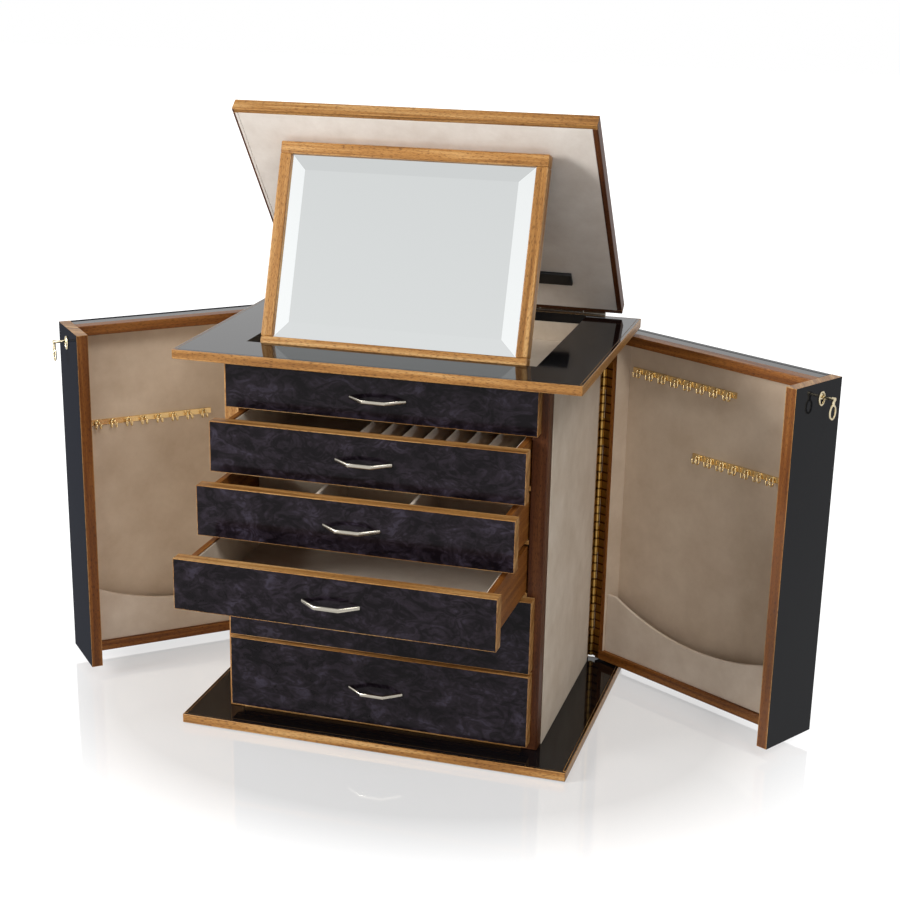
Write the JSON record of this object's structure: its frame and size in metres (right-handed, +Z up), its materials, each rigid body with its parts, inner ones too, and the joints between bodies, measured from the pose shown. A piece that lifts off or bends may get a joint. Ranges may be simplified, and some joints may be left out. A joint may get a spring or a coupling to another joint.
{
  "type": "jewelry box",
  "caption": "Upright jewelry chest with sliding drawers, swinging side doors lined for necklaces, a hinged lid and a tilting mirror that folds into a recess in the top.",
  "frame": {"origin": "centre of the base's underside, on the surface it stands on", "axes": "+X to the chest's right as seen from the front, +Y to the back, +Z up; drawers slide out along -Y"},
  "size_m": [0.6784, 0.3625, 0.5245],
  "materials": {
    "felt": "matte felt",
    "brass": "polished, gold tone",
    "pull_metal": "polished pale nickel",
    "mirror_glass": "bevelled silvered glass",
    "rubber": "matte black",
    "suede": "short-nap beige suede",
    "black_lacquer": "black high-gloss lacquer on board",
    "burl": "black-stained burl veneer under gloss lacquer",
    "wood": "honey-brown satin hardwood"
  },
  "bodies": {
    "cabinet": {"base_felt": "felt", "base_plate": "black_lacquer", "base_lipping": "wood", "side_panels": "wood", "side_linings": "suede", "back_panel": "black_lacquer", "front_posts": "wood", "drawer_shelves": "wood", "top_plate": "black_lacquer", "top_lipping": "wood", "top_tray": "suede", "lid_hinge_fixed": "brass", "door_left_hinge_fixed": "brass", "door_right_hinge_fixed": "brass"},
    "lid": {"lid_board": "black_lacquer", "lid_lipping": "wood", "lid_lining": "suede", "lid_buffer": "rubber", "lid_hinge_moving": "brass"},
    "mirror": {"mirror_frame": "wood", "mirror_glass": "mirror_glass", "mirror_backboard": "wood", "mirror_pivots": "brass"},
    "left_door": {"door_left_panel": "black_lacquer", "door_left_rails": "wood", "door_left_return": "black_lacquer", "door_left_lining": "suede", "door_left_pocket": "suede", "door_left_hook_rails": "brass", "door_left_lock": "brass", "door_left_hinge_leaf": "brass"},
    "left_key": {"key_left": "brass"},
    "right_door": {"door_right_panel": "black_lacquer", "door_right_rails": "wood", "door_right_return": "black_lacquer", "door_right_lining": "suede", "door_right_pocket": "suede", "door_right_hook_rails": "brass", "door_right_lock": "brass", "door_right_hinge_leaf": "brass"},
    "right_key": {"key_right": "brass"},
    "drawer_1": {"drawer_1_front": "burl", "drawer_1_box": "wood", "drawer_1_pull": "pull_metal"},
    "drawer_2": {"drawer_2_front": "burl", "drawer_2_box": "wood", "drawer_2_pull": "pull_metal", "drawer_2_ring_rolls": "suede"},
    "drawer_3": {"drawer_3_front": "burl", "drawer_3_box": "wood", "drawer_3_pull": "pull_metal"},
    "drawer_4": {"drawer_4_front": "burl", "drawer_4_box": "wood", "drawer_4_pull": "pull_metal"},
    "drawer_5": {"drawer_5_front": "burl", "drawer_5_box": "wood", "drawer_5_pull": "pull_metal"},
    "drawer_6": {"drawer_6_front": "burl", "drawer_6_box": "wood", "drawer_6_pull": "pull_metal"}
  },
  "joints": [
    {"name": "lid_swing", "type": "hinge", "parent": "cabinet", "child": "lid", "pos_m": [0, 0.1225, 0.3353], "axis": [-1, 0, 0], "range_deg": [0, 43]},
    {"name": "mirror_fold", "type": "hinge", "parent": "cabinet", "child": "mirror", "pos_m": [0, -0.0665, 0.32], "axis": [1, 0, 0], "range_deg": [-71, 0]},
    {"name": "left_door_swing", "type": "hinge", "parent": "cabinet", "child": "left_door", "pos_m": [-0.1405, 0.116, 0.1678], "axis": [0, 0, -1], "range_deg": [-43, 72.2]},
    {"name": "right_door_swing", "type": "hinge", "parent": "cabinet", "child": "right_door", "pos_m": [0.1405, 0.116, 0.1678], "axis": [0, 0, 1], "range_deg": [-54.7, 60.5]},
    {"name": "left_key_turn", "type": "hinge", "parent": "left_door", "child": "left_key", "pos_m": [-0.31034, -0.03463, 0.3105], "axis": [-0.7408, -0.6717, 0], "range_deg": [0, 90]},
    {"name": "right_key_turn", "type": "hinge", "parent": "right_door", "child": "right_key", "pos_m": [0.33736, 0.00294, 0.3105], "axis": [0.8616, -0.5075, 0], "range_deg": [0, 90]},
    {"name": "drawer_1_slide", "type": "slide", "parent": "cabinet", "child": "drawer_1", "axis": [0, -1, 0], "range_m": [0, 0.145]},
    {"name": "drawer_2_slide", "type": "slide", "parent": "cabinet", "child": "drawer_2", "axis": [0, -1, 0], "range_m": [-0.0345, 0.1105]},
    {"name": "drawer_3_slide", "type": "slide", "parent": "cabinet", "child": "drawer_3", "axis": [0, -1, 0], "range_m": [-0.0635, 0.0815]},
    {"name": "drawer_4_slide", "type": "slide", "parent": "cabinet", "child": "drawer_4", "axis": [0, -1, 0], "range_m": [-0.112, 0.033]},
    {"name": "drawer_5_slide", "type": "slide", "parent": "cabinet", "child": "drawer_5", "axis": [0, -1, 0], "range_m": [0, 0.145]},
    {"name": "drawer_6_slide", "type": "slide", "parent": "cabinet", "child": "drawer_6", "axis": [0, -1, 0], "range_m": [0, 0.145]}
  ],
  "couplings": [
    {"joint": "mirror_fold", "follows": "lid_swing", "ratio": -1.6512}
  ]
}
